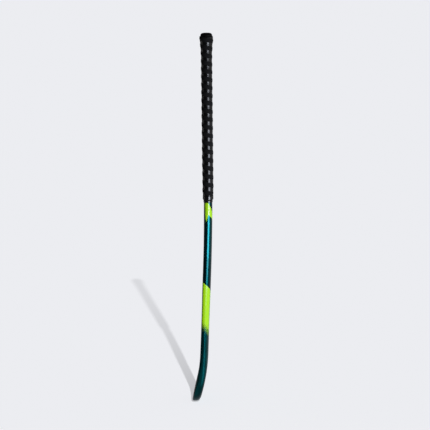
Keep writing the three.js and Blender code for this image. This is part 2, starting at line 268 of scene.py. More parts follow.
# %% [markdown]
# The lacquer would mirror the whole bright floor if it could, and its dark paint would turn grey.
# So reflections skip the floor and see two quieter things: a small pale card near the foot, and a
# dim even world. The camera sees the world as pale as the floor, so the horizon disappears.

# %% Card by the foot
CARD_RADIUS = 0.34
CARD_ASIDE = Vector((0.19, -0.15, 0))
CARD_GAP = 0.1 * MM
CARD_GLOW = 0.3


def card_glow():
    finish, _, shader = new_material("card_glow")
    shader.inputs["Base Color"].default_value = (0, 0, 0, 1)
    shader.inputs["Emission Color"].default_value = PALE
    shader.inputs["Emission Strength"].default_value = CARD_GLOW
    return finish


card = disc("foot_card", CARD_RADIUS, Vector((AXIS_X, AXIS_Y, BASE_Z - CARD_GAP)) + CARD_ASIDE)
card.data.materials.append(card_glow())
card.visible_camera = False
card.visible_diffuse = False
card.visible_shadow = False
print("card radius:", CARD_RADIUS, "m")


# %% World
def studio_world():
    """PALE where the camera looks, and a dim white light for everything else."""
    world = bpy.data.worlds.new("studio")
    world.use_nodes = True
    tree = world.node_tree
    tree.nodes.clear()
    ray = tree.nodes.new("ShaderNodeLightPath")
    seen = tree.nodes.new("ShaderNodeBackground")
    seen.inputs["Color"].default_value = PALE
    dim = tree.nodes.new("ShaderNodeBackground")
    dim.inputs["Color"].default_value = (1, 1, 1, 1)
    dim.inputs["Strength"].default_value = DIM_LIGHT
    pick = tree.nodes.new("ShaderNodeMixShader")
    out = tree.nodes.new("ShaderNodeOutputWorld")
    feed(tree, pick.inputs[0], ray.outputs["Is Camera Ray"])
    feed(tree, pick.inputs[1], dim.outputs[0])
    feed(tree, pick.inputs[2], seen.outputs[0])
    feed(tree, out.inputs["Surface"], pick.outputs[0])
    return world


bpy.context.scene.world = studio_world()
print("world light:", DIM_LIGHT)

# %% [markdown]
# Four upright soft lamps light the stick. The key stands in front on the right and draws the bright
# line down the paint and one spot on every turn of the grip; the other three only trace the sides.
# Their reflections matter more than their light, so each is given by the brightness of its surface.

# %% Lamps
all_but_the_floor = bpy.data.collections.new("all_but_the_floor")
all_but_the_floor.objects.link(floor)
all_but_the_floor.collection_objects[0].light_linking.link_state = "EXCLUDE"


def softbox(name, azimuth, distance, height, width, tall, radiance, colour=(1, 1, 1)):
    """Upright rectangular lamp that faces the handle's axis; radiance is its brightness."""
    lamp = bpy.data.lights.new(name, "AREA")
    lamp.shape = "RECTANGLE"
    lamp.size = width
    lamp.size_y = tall
    lamp.energy = radiance * math.pi * width * tall
    lamp.color = colour
    obj = link(bpy.data.objects.new(name, lamp))
    away = direction(math.radians(azimuth), 0)
    obj.location = Vector((AXIS_X, AXIS_Y, height)) + away * distance
    obj.rotation_euler = (-away).to_track_quat("-Z", "Y").to_euler()
    obj.visible_camera = False
    obj.light_linking.receiver_collection = all_but_the_floor
    return obj


softbox("key_lamp", azimuth=40, distance=1.5, height=0.285, width=0.95, tall=0.57,
        radiance=12.5, colour=(0.84, 0.89, 1))
softbox("side_lamp", azimuth=88, distance=1.3, height=0.45, width=0.9, tall=1.6, radiance=0.55)
softbox("back_lamp", azimuth=135, distance=1.3, height=0.45, width=0.9, tall=1.6, radiance=0.35)
softbox("left_lamp", azimuth=-106, distance=1.4, height=0.5, width=0.25, tall=1.4, radiance=1.1)

# %% Shadow lamp
only_the_floor = bpy.data.collections.new("only_the_floor")
only_the_floor.objects.link(floor)
sun_data = bpy.data.lights.new("shadow_lamp", "SUN")
sun_data.energy = SUN_STRENGTH
sun_data.angle = SUN_WIDTH
sun = link(bpy.data.objects.new("shadow_lamp", sun_data))
sun.rotation_euler = direction(SUN_AZIMUTH, SUN_ELEVATION).to_track_quat("Z", "Y").to_euler()
sun.light_linking.receiver_collection = only_the_floor

# %% [markdown]
# The moulding is one hollow skin of carbon and glass cloth that runs from the butt to the toe.
# Its shape follows a rule: a spine that is straight and then turns round one arc, a section that
# goes from the handle's oval to the shaft's D shape, and a bow that depends only on height. Box
# modelling would leave lumps in such a long sweep, so the rule gives rings and the rings are skinned.

# %% The moulding's rule
HOOK_RADIUS = 35 * MM
HEAD_HALF_WIDTH = 23 * MM
HOOK_TURN = math.radians(160)
TOE_STRAIGHT = 14 * MM
EDGE_RADIUS = 5.2 * MM
SHAFT_BACK_POWER = 0.82
HEAD_BACK_POWER = 0.55
HEAD_BLEND_START = 786 * MM
HEAD_LEAD = 16 * MM
SHAFT_WALL = 2.5 * MM
HEAD_WALL = 4 * MM
HOOK_CENTRE = HOOK_RADIUS + HEAD_HALF_WIDTH
STRAIGHT = BUTT_Z - BASE_Z - HOOK_CENTRE
ARC = HOOK_RADIUS * HOOK_TURN
TIP_START = STRAIGHT + ARC + TOE_STRAIGHT

BOW_BENDS = (
    {"top": 545 * MM, "bottom": 335 * MM, "lean": 0.043},
    {"top": 137 * MM, "bottom": 45 * MM, "lean": 0.195},
)

# distance from the butt in mm, half width, thickness, share of the D shape
SECTIONS = np.array([
    (0, 15.8, 26.6, 0),
    (14, 15.4, 24.9, 0),
    (42, 13.8, 21.1, 0),
    (58, 13.4, 20.6, 0),
    (386, 13.4, 20.2, 0),
    (412, 14.4, 20.8, 0.4),
    (527, 18.4, 20.2, 0.9),
    (627, 21.0, 20.0, 1),
    (672, 21.8, 19.3, 1),
    (718, 22.5, 19.0, 1),
    (780, 23.0, 19.5, 1),
    ((STRAIGHT - HEAD_LEAD) / MM, 23.0, 20.6, 1),
    (STRAIGHT / MM, 23.0, 20.6, 1),
    ((TIP_START + HEAD_HALF_WIDTH) / MM, 23.0, 20.6, 1),
])


def bow(height):
    """How far the two bends have moved the stick towards its face at a height above the base."""
    total = np.zeros_like(height)
    for bend in BOW_BENDS:
        span = bend["top"] - bend["bottom"]
        inside = np.clip(bend["top"] - height, 0, span)
        below = np.clip(bend["bottom"] - height, 0, None)
        total += bend["lean"] * (inside ** 2 / (2 * span) + below)
    return total


def section_value(distance, column):
    """One column of SECTIONS at a distance, as a smooth cubic through the stations."""
    at, value = SECTIONS[:, 0], SECTIONS[:, column]
    slopes = np.empty(len(at))
    slopes[1:-1] = (value[2:] - value[:-2]) / (at[2:] - at[:-2])
    slopes[0] = (value[1] - value[0]) / (at[1] - at[0])
    slopes[-1] = (value[-1] - value[-2]) / (at[-1] - at[-2])
    place = distance / MM
    i = int(np.clip(np.searchsorted(at, place, side="right") - 1, 0, len(at) - 2))
    span = at[i + 1] - at[i]
    t = min((place - at[i]) / span, 1)
    ends = value[i] * (2 * t**3 - 3 * t**2 + 1) + value[i + 1] * (3 * t**2 - 2 * t**3)
    return ends + span * (slopes[i] * (t**3 - 2 * t**2 + t) + slopes[i + 1] * (t**3 - t**2))


def head_share(distance):
    """0 along the shaft and 1 in the head, with a smooth change between."""
    t = min(max((distance - HEAD_BLEND_START) / (STRAIGHT - HEAD_BLEND_START), 0), 1)
    return t * t * (3 - 2 * t)


def spine(distance):
    """Point of the spine in the YZ plane and the normal that points away from the hook."""
    if distance <= STRAIGHT:
        return np.array((0, BUTT_Z - distance)), np.array((-1.0, 0.0))
    turn = min((distance - STRAIGHT) / HOOK_RADIUS, HOOK_TURN)
    beyond = distance - STRAIGHT - turn * HOOK_RADIUS
    along = np.array((math.sin(turn), -math.cos(turn)))
    centre = np.array((HOOK_RADIUS, BASE_Z + HOOK_CENTRE))
    away = np.array((-math.cos(turn), -math.sin(turn)))
    return centre + HOOK_RADIUS * away + beyond * along, away


# %% One outline of the moulding
OUTLINE_STEPS = {"face": 24, "edge": 10, "back": 52}


def outline(distance, steps=OUTLINE_STEPS):
    """Points (across, depth) round the section, from the toe's side of the flat face."""
    half_width = section_value(distance, 1) * MM
    thickness = section_value(distance, 2) * MM
    d_share = min(max(section_value(distance, 3), 0), 1)
    back_power = SHAFT_BACK_POWER + (HEAD_BACK_POWER - SHAFT_BACK_POWER) * head_share(distance)
    flat = half_width - EDGE_RADIUS

    def share(count):
        return np.arange(count) / count

    face, edge, back = (share(steps[part]) for part in ("face", "edge", "back"))
    heel_turn = np.radians(-90 + 90 * edge)
    back_turn = np.pi * back
    toe_turn = np.radians(180 + 90 * edge)
    across = np.concatenate([
        -flat + 2 * flat * face,
        flat + EDGE_RADIUS * np.cos(heel_turn),
        half_width * np.sign(np.cos(back_turn)) * np.abs(np.cos(back_turn)) ** back_power,
        -flat + EDGE_RADIUS * np.cos(toe_turn),
    ])
    depth = np.concatenate([
        0 * face,
        EDGE_RADIUS * (1 + np.sin(heel_turn)),
        EDGE_RADIUS + (thickness - EDGE_RADIUS) * np.sin(back_turn) ** back_power,
        EDGE_RADIUS * (1 + np.sin(toe_turn)),
    ])
    oval_turn = np.radians(np.concatenate([
        -135 + 90 * face, -45 + 45 * edge, 180 * back, 180 + 45 * edge,
    ]))
    across += (1 - d_share) * (half_width * np.cos(oval_turn) - across)
    depth += (1 - d_share) * (thickness * (1 + np.sin(oval_turn)) / 2 - depth)
    return np.column_stack([across, depth])


def inset(points, amount):
    """The same outline with every side moved inwards."""
    side = np.roll(points, -1, axis=0) - points
    side /= np.linalg.norm(side, axis=1, keepdims=True)
    inward = np.column_stack([-side[:, 1], side[:, 0]])
    before = np.roll(inward, 1, axis=0)
    reach = amount / (1 + np.sum(before * inward, axis=1, keepdims=True))
    return points + (before + inward) * reach


def place(distance, points, tip_turn=0.0):
    """Sets an outline on the spine; tip_turn swings both halves forward to meet at the toe."""
    (y, z), away = spine(distance)
    forward = np.array((-away[1], away[0])) if distance > STRAIGHT else np.array((0.0, -1.0))
    half_thickness = section_value(distance, 2) * MM / 2
    sideways = points[:, 0] * math.cos(tip_turn)
    ahead = np.abs(points[:, 0]) * math.sin(tip_turn)
    height = z + sideways * away[1] + ahead * forward[1]
    return np.column_stack([
        AXIS_X + points[:, 1] - half_thickness - bow(height - BASE_Z),
        AXIS_Y + y + sideways * away[0] + ahead * forward[0],
        height,
    ])


print("spine length to the toe:", round(TIP_START + HEAD_HALF_WIDTH, 4))

# %% [markdown]
# Rings become a mesh by joining each one to the next with quads. The same helper makes the
# moulding, the vinyl band and the cap, so the joining is written once. Each corner also gets a
# flat-pattern coordinate in metres: how far round the stick it is, and how far from the butt.
# The paint's panels are drawn on that pattern, as a decal is before it is wrapped.

# %% Skin rings into a mesh
def skin(name, rings, pattern, loop=False, cap_start=False, cap_end=False):
    """Mesh through equal rings; pattern gives (round, along) for each ring's points."""
    size = len(rings[0])
    bands = len(rings) if loop else len(rings) - 1
    faces, corners = [], []
    for k in range(bands):
        n = (k + 1) % len(rings)
        for i in range(size):
            j = (i + 1) % size
            faces.append((k * size + i, k * size + j, n * size + j, n * size + i))
            corners += [pattern[k][i], pattern[k][i + 1], pattern[n][i + 1], pattern[n][i]]
    for wanted, k, order in ((cap_start, 0, -1), (cap_end, len(rings) - 1, 1)):
        if wanted:
            ids = list(range(size))[::order]
            faces.append([k * size + i for i in ids])
            corners += [pattern[k][i] for i in ids]
    mesh = bpy.data.meshes.new(name)
    mesh.from_pydata(np.concatenate(rings).tolist(), [], faces)
    layer = mesh.uv_layers.new(name="flat_pattern")
    layer.data.foreach_set("uv", np.array(corners, np.float32).ravel())
    mesh.shade_smooth()
    return link(bpy.data.objects.new(name, mesh))


WELD_REACH = 1e-6


def weld(obj):
    """Merges points that meet and turns every face outwards."""
    work = bmesh.new()
    work.from_mesh(obj.data)
    bmesh.ops.remove_doubles(work, verts=work.verts, dist=WELD_REACH)
    bmesh.ops.dissolve_degenerate(work, edges=work.edges, dist=WELD_REACH / 10)
    bmesh.ops.recalc_face_normals(work, faces=work.faces)
    volume = work.calc_volume(signed=True)
    if volume < 0:
        bmesh.ops.reverse_faces(work, faces=work.faces)
    work.to_mesh(obj.data)
    open_edges = sum(1 for e in work.edges if len(e.link_faces) != 2)
    print(f"{obj.name}: {len(work.faces)} faces, {open_edges} open edges")
    print(f"{obj.name}: {abs(volume) * 1e6:.1f} cm3")
    work.free()
    return obj


def round_the_section(points, start):
    """Distance round an outline in metres, zero at the point with index start."""
    closed = np.vstack([points, points[:1]])
    run = np.concatenate([[0], np.cumsum(np.linalg.norm(np.diff(closed, axis=0), axis=1))])
    return run - run[start]


# %% Skin the moulding
RING_GAP = 3 * MM
ARC_RINGS = 64
TOE_RINGS = 6
TIP_RINGS = 26
CAVITY_STEP = 4
HEEL_CORNER = OUTLINE_STEPS["face"]
PATTERN_SHIFT = 0.06

outer_at = np.concatenate([
    np.arange(0, STRAIGHT, RING_GAP),
    np.linspace(STRAIGHT, STRAIGHT + ARC, ARC_RINGS),
    np.linspace(STRAIGHT + ARC, TIP_START, TOE_RINGS)[1:],
])
inner_at = outer_at[::CAVITY_STEP]


def cavity(distance):
    wall = SHAFT_WALL + (HEAD_WALL - SHAFT_WALL) * head_share(distance)
    return inset(outline(distance), wall)


def flat_pattern(points, distance, tip_turn=0.0):
    around = round_the_section(points, HEEL_CORNER) + PATTERN_SHIFT
    reach = np.append(np.abs(points[:, 0]), abs(points[0, 0])) * math.sin(tip_turn)
    return np.column_stack([around, distance + reach])


rings, pattern = [], []
for distance in inner_at[::-1]:
    rings.append(place(distance, cavity(distance)))
    pattern.append(flat_pattern(cavity(distance), distance))
for distance in outer_at:
    rings.append(place(distance, outline(distance)))
    pattern.append(flat_pattern(outline(distance), distance))
for tip_turn in np.linspace(0, math.pi / 2, TIP_RINGS)[1:]:
    rings.append(place(TIP_START, outline(TIP_START), tip_turn))
    pattern.append(flat_pattern(outline(TIP_START), TIP_START, tip_turn))
moulding = weld(skin("painted_moulding", rings, pattern, cap_start=True))

# %% [markdown]
# The lacquer is a dark teal metallic coat with cloudy patches, under a thin clear coat, so its
# highlights are cyan and not white. The lime panels are solid gloss colour, so theirs are white.
# Both come from one shader: a mask says where lime is, and it swaps the colour and turns the metal
# off. Drawing the panels on the flat pattern keeps their edges straight as they wrap the section.

# %% Lime panels on the flat pattern
PANEL_SLANT = 0.9
EDGE_BLUR = 0.25 * MM
COLLAR_TOP = 388 * MM
COLLAR_BOTTOM = 425.5 * MM
COLLAR_DART = 480 * MM
COLLAR_LEFT = 418 * MM
TOP_SLOPE = 1.7
DART_SLOPE = -3.4
LEFT_SLOPE = 4.6
FLASH_TOP = 601 * MM
FLASH_SOLID_END = 690 * MM
FLASH_END = 722 * MM
FLASH_LEFT = 2.8 * MM
COLLAR_FACE_REACH = -20 * MM
BACK_REACH = 73 * MM
DOT_PITCH = 3.2 * MM
DOT_LARGEST = 0.75
DOT_SMALLEST = 0.08
DOT_BLUR = 0.12


def between(tree, value, low, high):
    above = soft_step(tree, value, low, EDGE_BLUR)
    below = maths(tree, "SUBTRACT", 1.0, soft_step(tree, value, high, EDGE_BLUR))
    return maths(tree, "MULTIPLY", above, below)


def lime_mask(tree):
    """1 on the collar below the grip and on the slanted flash further down."""
    across, along, flat = pattern_place(tree)
    around = maths(tree, "SUBTRACT", across, PATTERN_SHIFT)
    slanted = maths(tree, "MULTIPLY_ADD", around, -PANEL_SLANT, along)

    # the collar's edges are slanted and the lower one has a dart over the heel side
    upper = maths(tree, "MULTIPLY_ADD", around, TOP_SLOPE, COLLAR_TOP)
    right = maths(tree, "MULTIPLY_ADD", around, PANEL_SLANT, COLLAR_BOTTOM)
    dart = maths(tree, "MULTIPLY_ADD", around, DART_SLOPE, COLLAR_DART)
    left = maths(tree, "MULTIPLY_ADD", around, LEFT_SLOPE, COLLAR_LEFT)
    lower = maths(tree, "MINIMUM", maths(tree, "MAXIMUM", right, dart), left)
    below_upper = soft_step(tree, maths(tree, "SUBTRACT", along, upper), 0.0, EDGE_BLUR)
    above_lower = soft_step(tree, maths(tree, "SUBTRACT", lower, along), 0.0, EDGE_BLUR)
    collar = maths(tree, "MULTIPLY", below_upper, above_lower)
    collar_reach = between(tree, around, COLLAR_FACE_REACH, BACK_REACH)
    collar = maths(tree, "MULTIPLY", collar, collar_reach)

    # the flash is solid at its top and breaks up into dots near its end
    dots = tree.nodes.new("ShaderNodeTexVoronoi")
    dots.inputs["Scale"].default_value = 1 / DOT_PITCH
    dots.inputs["Randomness"].default_value = 0
    turned = tree.nodes.new("ShaderNodeMapping")
    turned.inputs["Rotation"].default_value = (0, 0, math.radians(45))
    feed(tree, turned.inputs["Vector"], flat)
    feed(tree, dots.inputs["Vector"], turned.outputs[0])
    size = tree.nodes.new("ShaderNodeMapRange")
    feed(tree, size.inputs["Value"], slanted)
    size.inputs["From Min"].default_value = FLASH_SOLID_END
    size.inputs["From Max"].default_value = FLASH_END
    size.inputs["To Min"].default_value = DOT_LARGEST
    size.inputs["To Max"].default_value = DOT_SMALLEST
    inside_dot = maths(tree, "SUBTRACT", size.outputs[0], dots.outputs["Distance"])
    dotted = soft_step(tree, inside_dot, 0.0, DOT_BLUR)
    flash = maths(tree, "MULTIPLY", between(tree, slanted, FLASH_TOP, FLASH_END), dotted)
    flash = maths(tree, "MULTIPLY", flash, between(tree, around, FLASH_LEFT, BACK_REACH))
    return maths(tree, "MAXIMUM", collar, flash)


print("collar from", round(COLLAR_TOP, 3), "m and flash from", round(FLASH_TOP, 3), "m")

# %% Teal and lime lacquer
# The head's teal is painted about twice as light as the shaft's. That is a painted reflection of the
# light near the floor, not a lighter paint.
PAINTED_REFLECTION_FROM = 660 * MM
PAINTED_REFLECTION_FADE = 180 * MM
SHAFT_TEALS = (0.0005, 0.032, 0.037, 1), (0.0010, 0.068, 0.078, 1)
HEAD_TEALS_WITH_PAINTED_REFLECTION = (0.0008, 0.062, 0.068, 1), (0.0014, 0.135, 0.145, 1)
FLAKE_TEAL = (0.002, 0.12, 0.13, 1)
LIMES = (0.47, 0.93, 0.002, 1), (0.53, 0.95, 0.010, 1)


def lacquer():
    """Cloudy metallic teal, painted lighter in the head as a painted reflection, with solid lime
    where the mask says so.
    """
    finish, tree, shader = new_material("teal_and_lime_lacquer")
    place = object_place(tree)
    along = pattern_place(tree)[1]
    lime = lime_mask(tree)
    drawn_out = stretched(tree, place, (1, 1, 0.45))
    clouds = noise(tree, drawn_out, 26 * MM, detail=4, distortion=0.6)
    clouds = soft_step(tree, clouds, 0.5, 0.34)
    flake = noise(tree, place, 0.7 * MM, detail=1)
    shaft_teal = mix_colour(tree, clouds, *SHAFT_TEALS)
    # painted reflection: the teal turns lighter towards the head
    head_teal_with_painted_reflection = mix_colour(tree, clouds, *HEAD_TEALS_WITH_PAINTED_REFLECTION)
    painted_reflection_share = soft_step(tree, along, PAINTED_REFLECTION_FROM, PAINTED_REFLECTION_FADE)
    teal = mix_colour(tree, painted_reflection_share, shaft_teal, head_teal_with_painted_reflection)
    teal = mix_colour(tree, maths(tree, "MULTIPLY", flake, 0.2), teal, FLAKE_TEAL)
    lime_tone = mix_colour(tree, noise(tree, place, 18 * MM), *LIMES)
    feed(tree, shader.inputs["Base Color"], mix_colour(tree, lime, teal, lime_tone))
    feed(tree, shader.inputs["Metallic"], maths(tree, "SUBTRACT", 1.0, lime))
    haze = noise(tree, place, 9 * MM, detail=2)
    feed(tree, shader.inputs["Roughness"], maths(tree, "MULTIPLY_ADD", haze, 0.08, 0.18))
    shader.inputs["Coat Weight"].default_value = 0.09
    shader.inputs["Coat Roughness"].default_value = 0.08
    ripple = bump(tree, noise(tree, place, 3.5 * MM, detail=2), 0.03 * MM, 0.5)
    feed(tree, shader.inputs["Normal"], ripple)
    return finish


moulding.data.materials.append(lacquer())
print("moulding finish:", moulding.data.materials[0].name)

# %% [markdown]
# The grip is one long cushioned tape, wound from the butt downwards over a cord that raises a
# ridge once a turn. Each turn laps the last by a few millimetres. That is a pattern which follows a
# path, so Geometry Nodes wind it: a flat grid is the tape on the bench, one direction is its
# length and the other its width, and one Set Position sends every point to its place on the handle.

# %% Tools for geometry trees
class NodeBench:
    """Short ways to add and join geometry nodes."""

    def __init__(self, name):
        self.tree = bpy.data.node_groups.new(name, "GeometryNodeTree")
        self.tree.is_modifier = True
        self.tree.interface.new_socket(
            "Geometry", in_out="OUTPUT", socket_type="NodeSocketGeometry")
        self.sockets = {}
        self.group_in = None

    def declare(self, name, value, kind="NodeSocketFloat"):
        socket = self.tree.interface.new_socket(name, in_out="INPUT", socket_type=kind)
        if value is not None:
            socket.default_value = value
        self.sockets[name] = socket.identifier

    def add(self, kind, wires, **settings):
        """New node: wires maps its input names or numbers to values, outputs or input names."""
        made = self.tree.nodes.new(kind)
        for key, value in settings.items():
            setattr(made, key, value)
        for key, value in wires.items():
            self.wire(made.inputs[key], value)
        return made

    def wire(self, socket, value):
        if isinstance(value, str) and value in self.sockets:
            self.group_in = self.group_in or self.tree.nodes.new("NodeGroupInput")
            value = self.group_in.outputs[value]
        if isinstance(value, bpy.types.NodeSocket):
            self.tree.links.new(value, socket)
        else:
            socket.default_value = value

    def maths(self, operation, *values):
        return self.add("ShaderNodeMath", dict(enumerate(values)), operation=operation).outputs[0]

    def curve(self, value, points):
        """Smooth curve through given points, from 0..1 to 0..1."""
        made = self.add("ShaderNodeFloatCurve", {"Value": value})
        line = made.mapping.curves[0]
        while len(line.points) < len(points):
            line.points.new(0.5, 0.5)
        for handle, (x, y) in zip(line.points, points):
            handle.location = (x, y)
            handle.handle_type = "AUTO_CLAMPED"
        made.mapping.update()
        return made.outputs[0]


# %% The winding tree
bench = NodeBench("wind_the_tape")
for size, value in (
    ("Axis X", AXIS_X), ("Axis Y", AXIS_Y), ("Butt Height", BUTT_Z),
    ("Start", 0.6 * MM), ("End", 398 * MM), ("Turns", 21.4), ("First Angle", math.radians(-16)),
    ("Pitch", 18.5 * MM), ("Pitch Growth", 0.0605 * MM), ("Lap", 3.2 * MM),
    ("Half Thickness", 10.3 * MM), ("Half Width", 13.4 * MM), ("Slimming", 0.2 * MM),
    ("Flare Thickness", 3.0 * MM), ("Flare Width", 2.4 * MM), ("Stand Off", 2.35 * MM),
    ("Ridge Height", 0.8 * MM), ("Lap Lift", 0.1 * MM), ("End Squeeze", 0.4 * MM),
    ("Hand Wobble", 0.9 * MM), ("Seed", 7.0),
):
    bench.declare(size, value)
bench.declare("Length Points", 1030, "NodeSocketInt")
bench.declare("Width Points", 30, "NodeSocketInt")
bench.declare("Material", None, "NodeSocketMaterial")

# the tape on the bench: X runs along its length and Y across its width
grid = bench.add("GeometryNodeMeshGrid", {
    "Size X": 1.0, "Size Y": 1.0, "Vertices X": "Length Points", "Vertices Y": "Width Points",
})
position = bench.add("GeometryNodeInputPosition", {})
on_bench = bench.add("ShaderNodeSeparateXYZ", {0: position.outputs[0]})
turn = bench.maths("MULTIPLY", bench.maths("ADD", on_bench.outputs["X"], 0.5), "Turns")
width_share = bench.maths("ADD", on_bench.outputs["Y"], 0.5)

# the hand that winds is not a lathe: each turn lands a little off
where = bench.add("ShaderNodeCombineXYZ", {"X": turn, "Y": "Seed"})
wander = bench.add("ShaderNodeTexNoise", {"Vector": where.outputs[0], "Scale": 1.1, "Detail": 1.0})
drift = bench.maths("MULTIPLY", bench.maths("SUBTRACT", wander.outputs[0], 0.5), "Hand Wobble")

# the turns start close together at the butt and spread on the way down
widening = bench.maths("MULTIPLY", turn, "Pitch Growth")
run = bench.maths("MULTIPLY_ADD", turn, bench.maths("ADD", "Pitch", widening), "Start")
low_edge = bench.maths("ADD", run, drift)
strip = bench.maths("ADD", bench.maths("MULTIPLY_ADD", widening, 2.0, "Pitch"), "Lap")
high_edge = bench.maths("SUBTRACT", low_edge, strip)

# both ends of the grip are cut level
low_cut = bench.maths("MAXIMUM", bench.maths("MINIMUM", low_edge, "End"), "Start")
high_cut = bench.maths("MINIMUM", bench.maths("MAXIMUM", high_edge, "Start"), "End")
cut_width = bench.maths("SUBTRACT", low_cut, high_cut)
from_butt = bench.maths("MULTIPLY_ADD", cut_width, width_share, high_cut)
share = bench.maths("DIVIDE", bench.maths("SUBTRACT", from_butt, high_edge), strip)

# across the tape: a lifted lap at the upper edge, a flat, and the ridge where it goes over the cord
ridge = bench.curve(share, [
    (0.0, 0.0), (0.40, 0.0), (0.46, 0.22), (0.53, 0.80), (0.60, 1.0), (0.76, 1.0),
    (0.83, 0.80), (0.88, 0.25), (0.92, 0.0), (1.0, 0.0),
])
lap = bench.curve(share, [
    (0.0, 0.6), (0.04, 1.0), (0.11, 0.95), (0.15, 0.30), (0.19, 0.0), (1.0, 0.0),
])
down_the_grip = bench.maths("DIVIDE", from_butt, "End")
relief_left = bench.curve(down_the_grip, [
    (0.0, 0.3), (0.02, 1.0), (0.04, 1.0), (0.94, 1.0), (0.97, 0.6), (0.985, 0.0), (1.0, 0.0),
])
relief = bench.maths("MULTIPLY", relief_left, bench.maths(
    "MULTIPLY_ADD", ridge, "Ridge Height", bench.maths("MULTIPLY", lap, "Lap Lift")))

# the handle swells towards the butt and is slimmer at its lower end, where the tape is pulled tight
swell = bench.curve(down_the_grip, [
    (0.0, 0.80), (0.012, 1.0), (0.035, 0.70), (0.073, 0.33), (0.105, 0.08), (0.146, 0.0),
    (1.0, 0.0),
])
slimming = bench.curve(down_the_grip, [(0.0, 0.0), (0.72, 0.0), (0.9, 1.0), (1.0, 1.0)])
tight = bench.curve(down_the_grip, [(0.0, 0.0), (0.955, 0.0), (0.985, 1.0), (1.0, 1.0)])
slim = bench.maths("MULTIPLY", slimming, "Slimming")
off = bench.maths("ADD", bench.maths("SUBTRACT", "Stand Off", slim), relief)
off = bench.maths("SUBTRACT", off, bench.maths("MULTIPLY", tight, "End Squeeze"))
half_thickness = bench.maths("ADD", off, bench.maths(
    "MULTIPLY_ADD", swell, "Flare Thickness", "Half Thickness"))
half_width = bench.maths("ADD", off, bench.maths(
    "MULTIPLY_ADD", swell, "Flare Width", "Half Width"))

# its place on the handle
angle = bench.maths("MULTIPLY_ADD", turn, 2 * math.pi, "First Angle")
on_handle = bench.add("ShaderNodeCombineXYZ", {
    "X": bench.maths("MULTIPLY_ADD", half_thickness, bench.maths("COSINE", angle), "Axis X"),
    "Y": bench.maths("MULTIPLY_ADD", half_width, bench.maths("SINE", angle), "Axis Y"),
    "Z": bench.maths("SUBTRACT", "Butt Height", from_butt),
})
flat_place = bench.add("ShaderNodeCombineXYZ", {"X": share, "Y": turn})
stored = bench.add("GeometryNodeStoreNamedAttribute", {
    "Geometry": grid.outputs["Mesh"], "Name": "flat_pattern", "Value": flat_place.outputs[0],
}, data_type="FLOAT2", domain="CORNER")
wound = bench.add("GeometryNodeSetPosition", {
    "Geometry": stored.outputs[0], "Position": on_handle.outputs[0],
})
smooth = bench.add("GeometryNodeSetShadeSmooth", {0: wound.outputs[0]})
real = bench.add("GeometryNodeRealizeInstances", {0: smooth.outputs[0]})
dressed = bench.add("GeometryNodeSetMaterial", {
    "Geometry": real.outputs[0], "Material": "Material",
})
bench.add("NodeGroupOutput", {0: dressed.outputs[0]})
print("winding tree:", len(bench.tree.nodes), "nodes")


# %% Grip tape finish
CORD_FROM = 0.43
CORD_TO = 0.93
GRIP_BLACKS = (0.0006, 0.0006, 0.0008, 1), (0.0020, 0.0019, 0.0025, 1)


def grip_finish():
    """Polyurethane tape: matt where it is stretched over the ridge, smoother on the flats."""
    finish, tree, shader = new_material("cushioned_grip")
    place = object_place(tree)
    across = pattern_place(tree)[0]
    past_cord = soft_step(tree, across, CORD_TO, 0.06)
    over_cord = maths(tree, "MULTIPLY", soft_step(tree, across, CORD_FROM, 0.05),
                      maths(tree, "SUBTRACT", 1.0, past_cord))
    grain = noise(tree, place, 0.9 * MM, detail=3)
    pores = cells(tree, place, 1.3 * MM)
    mottle = noise(tree, place, 14 * MM, detail=2)
    feed(tree, shader.inputs["Base Color"], mix_colour(tree, mottle, *GRIP_BLACKS))
    rough = maths(tree, "MULTIPLY_ADD", over_cord, 0.66, 0.22)
    feed(tree, shader.inputs["Roughness"], maths(tree, "MULTIPLY_ADD", grain, 0.08, rough))
    shader.inputs["Specular IOR Level"].default_value = 0.40
    relief = maths(tree, "MULTIPLY_ADD", pores, 0.5, grain)
    feed(tree, shader.inputs["Normal"], bump(tree, relief, 0.05 * MM, 0.4))
    return finish


# %% Wind the grip
TAPE_WALL = 0.5 * MM


def wind(name, finish):
    """Runs the winding tree and returns the wound tape as a plain closed mesh."""
    start = link(bpy.data.objects.new(name + "_start", bpy.data.meshes.new(name + "_start")))
    winder = start.modifiers.new("winding", "NODES")
    winder.node_group = bench.tree
    winder[bench.sockets["Material"]] = finish
    thicken = start.modifiers.new("thickness", "SOLIDIFY")
    thicken.thickness = TAPE_WALL
    thicken.offset = -1
    evaluated = start.evaluated_get(bpy.context.evaluated_depsgraph_get())
    mesh = bpy.data.meshes.new_from_object(evaluated)
    mesh.name = name
    mesh.polygons.foreach_set("material_index", [0] * len(mesh.polygons))
    mesh.materials.clear()
    mesh.materials.append(finish)
    bpy.data.objects.remove(start)
    return link(bpy.data.objects.new(name, mesh))


grip = wind("wound_grip", grip_finish())
print("wound_grip:", len(grip.data.polygons), "faces, finish", grip.data.materials[0].name)

# %% [markdown]
# A vinyl band holds the grip's lower end down, half on the tape and half on the paint. It is a
# lathe-like sleeve with an oval section, so it is skinned from rings: out over the tape, down the
# small step and back inside. Its edges are rounded over, since tape under tension rolls there.

# %% Vinyl band
VINYL_BLACKS = (0.0015, 0.0016, 0.002, 1), (0.004, 0.0042, 0.005, 1)
BAND_TOP = 391 * MM
BAND_END = 407 * MM
BAND_STEP = 399 * MM
OVER_TAPE = 2.35 * MM
OVER_PAINT = 0.4 * MM
BAND_WALL = 0.5 * MM
STEP_RUN = 3.2 * MM
TOP_ROLL = 0.4 * MM
END_ROLL = 0.3 * MM
LIP = 0.05 * MM
BAND_STEPS = {"face": 18, "edge": 6, "back": 36}


